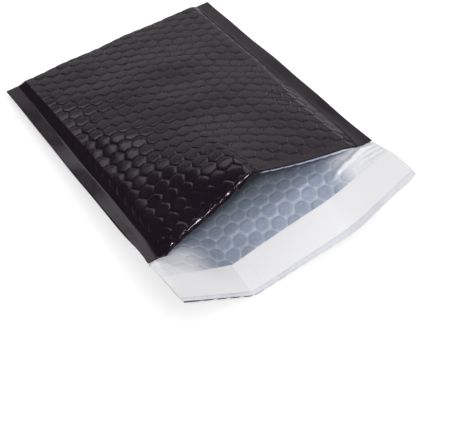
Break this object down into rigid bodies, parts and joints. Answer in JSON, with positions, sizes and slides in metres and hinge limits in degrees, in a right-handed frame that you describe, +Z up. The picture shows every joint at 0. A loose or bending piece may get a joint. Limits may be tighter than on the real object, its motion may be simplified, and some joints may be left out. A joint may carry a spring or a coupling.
{
  "type": "padded envelope",
  "caption": "Open padded envelope: film laminated to a bubble lining, side-sealed pocket, and a flap with an adhesive strip under a release liner.",
  "frame": {"origin": "under the middle of the envelope, on the plane it lies on", "axes": "+Z up through the front panel, +Y along the length towards the bottom fold, with the flap at -Y, and X across the width"},
  "size_m": [0.2, 0.3, 0.0622],
  "materials": {
    "black_film": "glossy black metallised film",
    "silver_lining": "silver-blue polyethylene bubble film, semi-gloss",
    "adhesive": "hot-melt pressure-sensitive adhesive",
    "liner_paper": "satin white siliconed release liner"
  },
  "bodies": {
    "root": {"outer_film": "black_film", "bubble_lining": "silver_lining", "adhesive_strip": "adhesive", "release_liner": "liner_paper"}
  },
  "joints": []
}
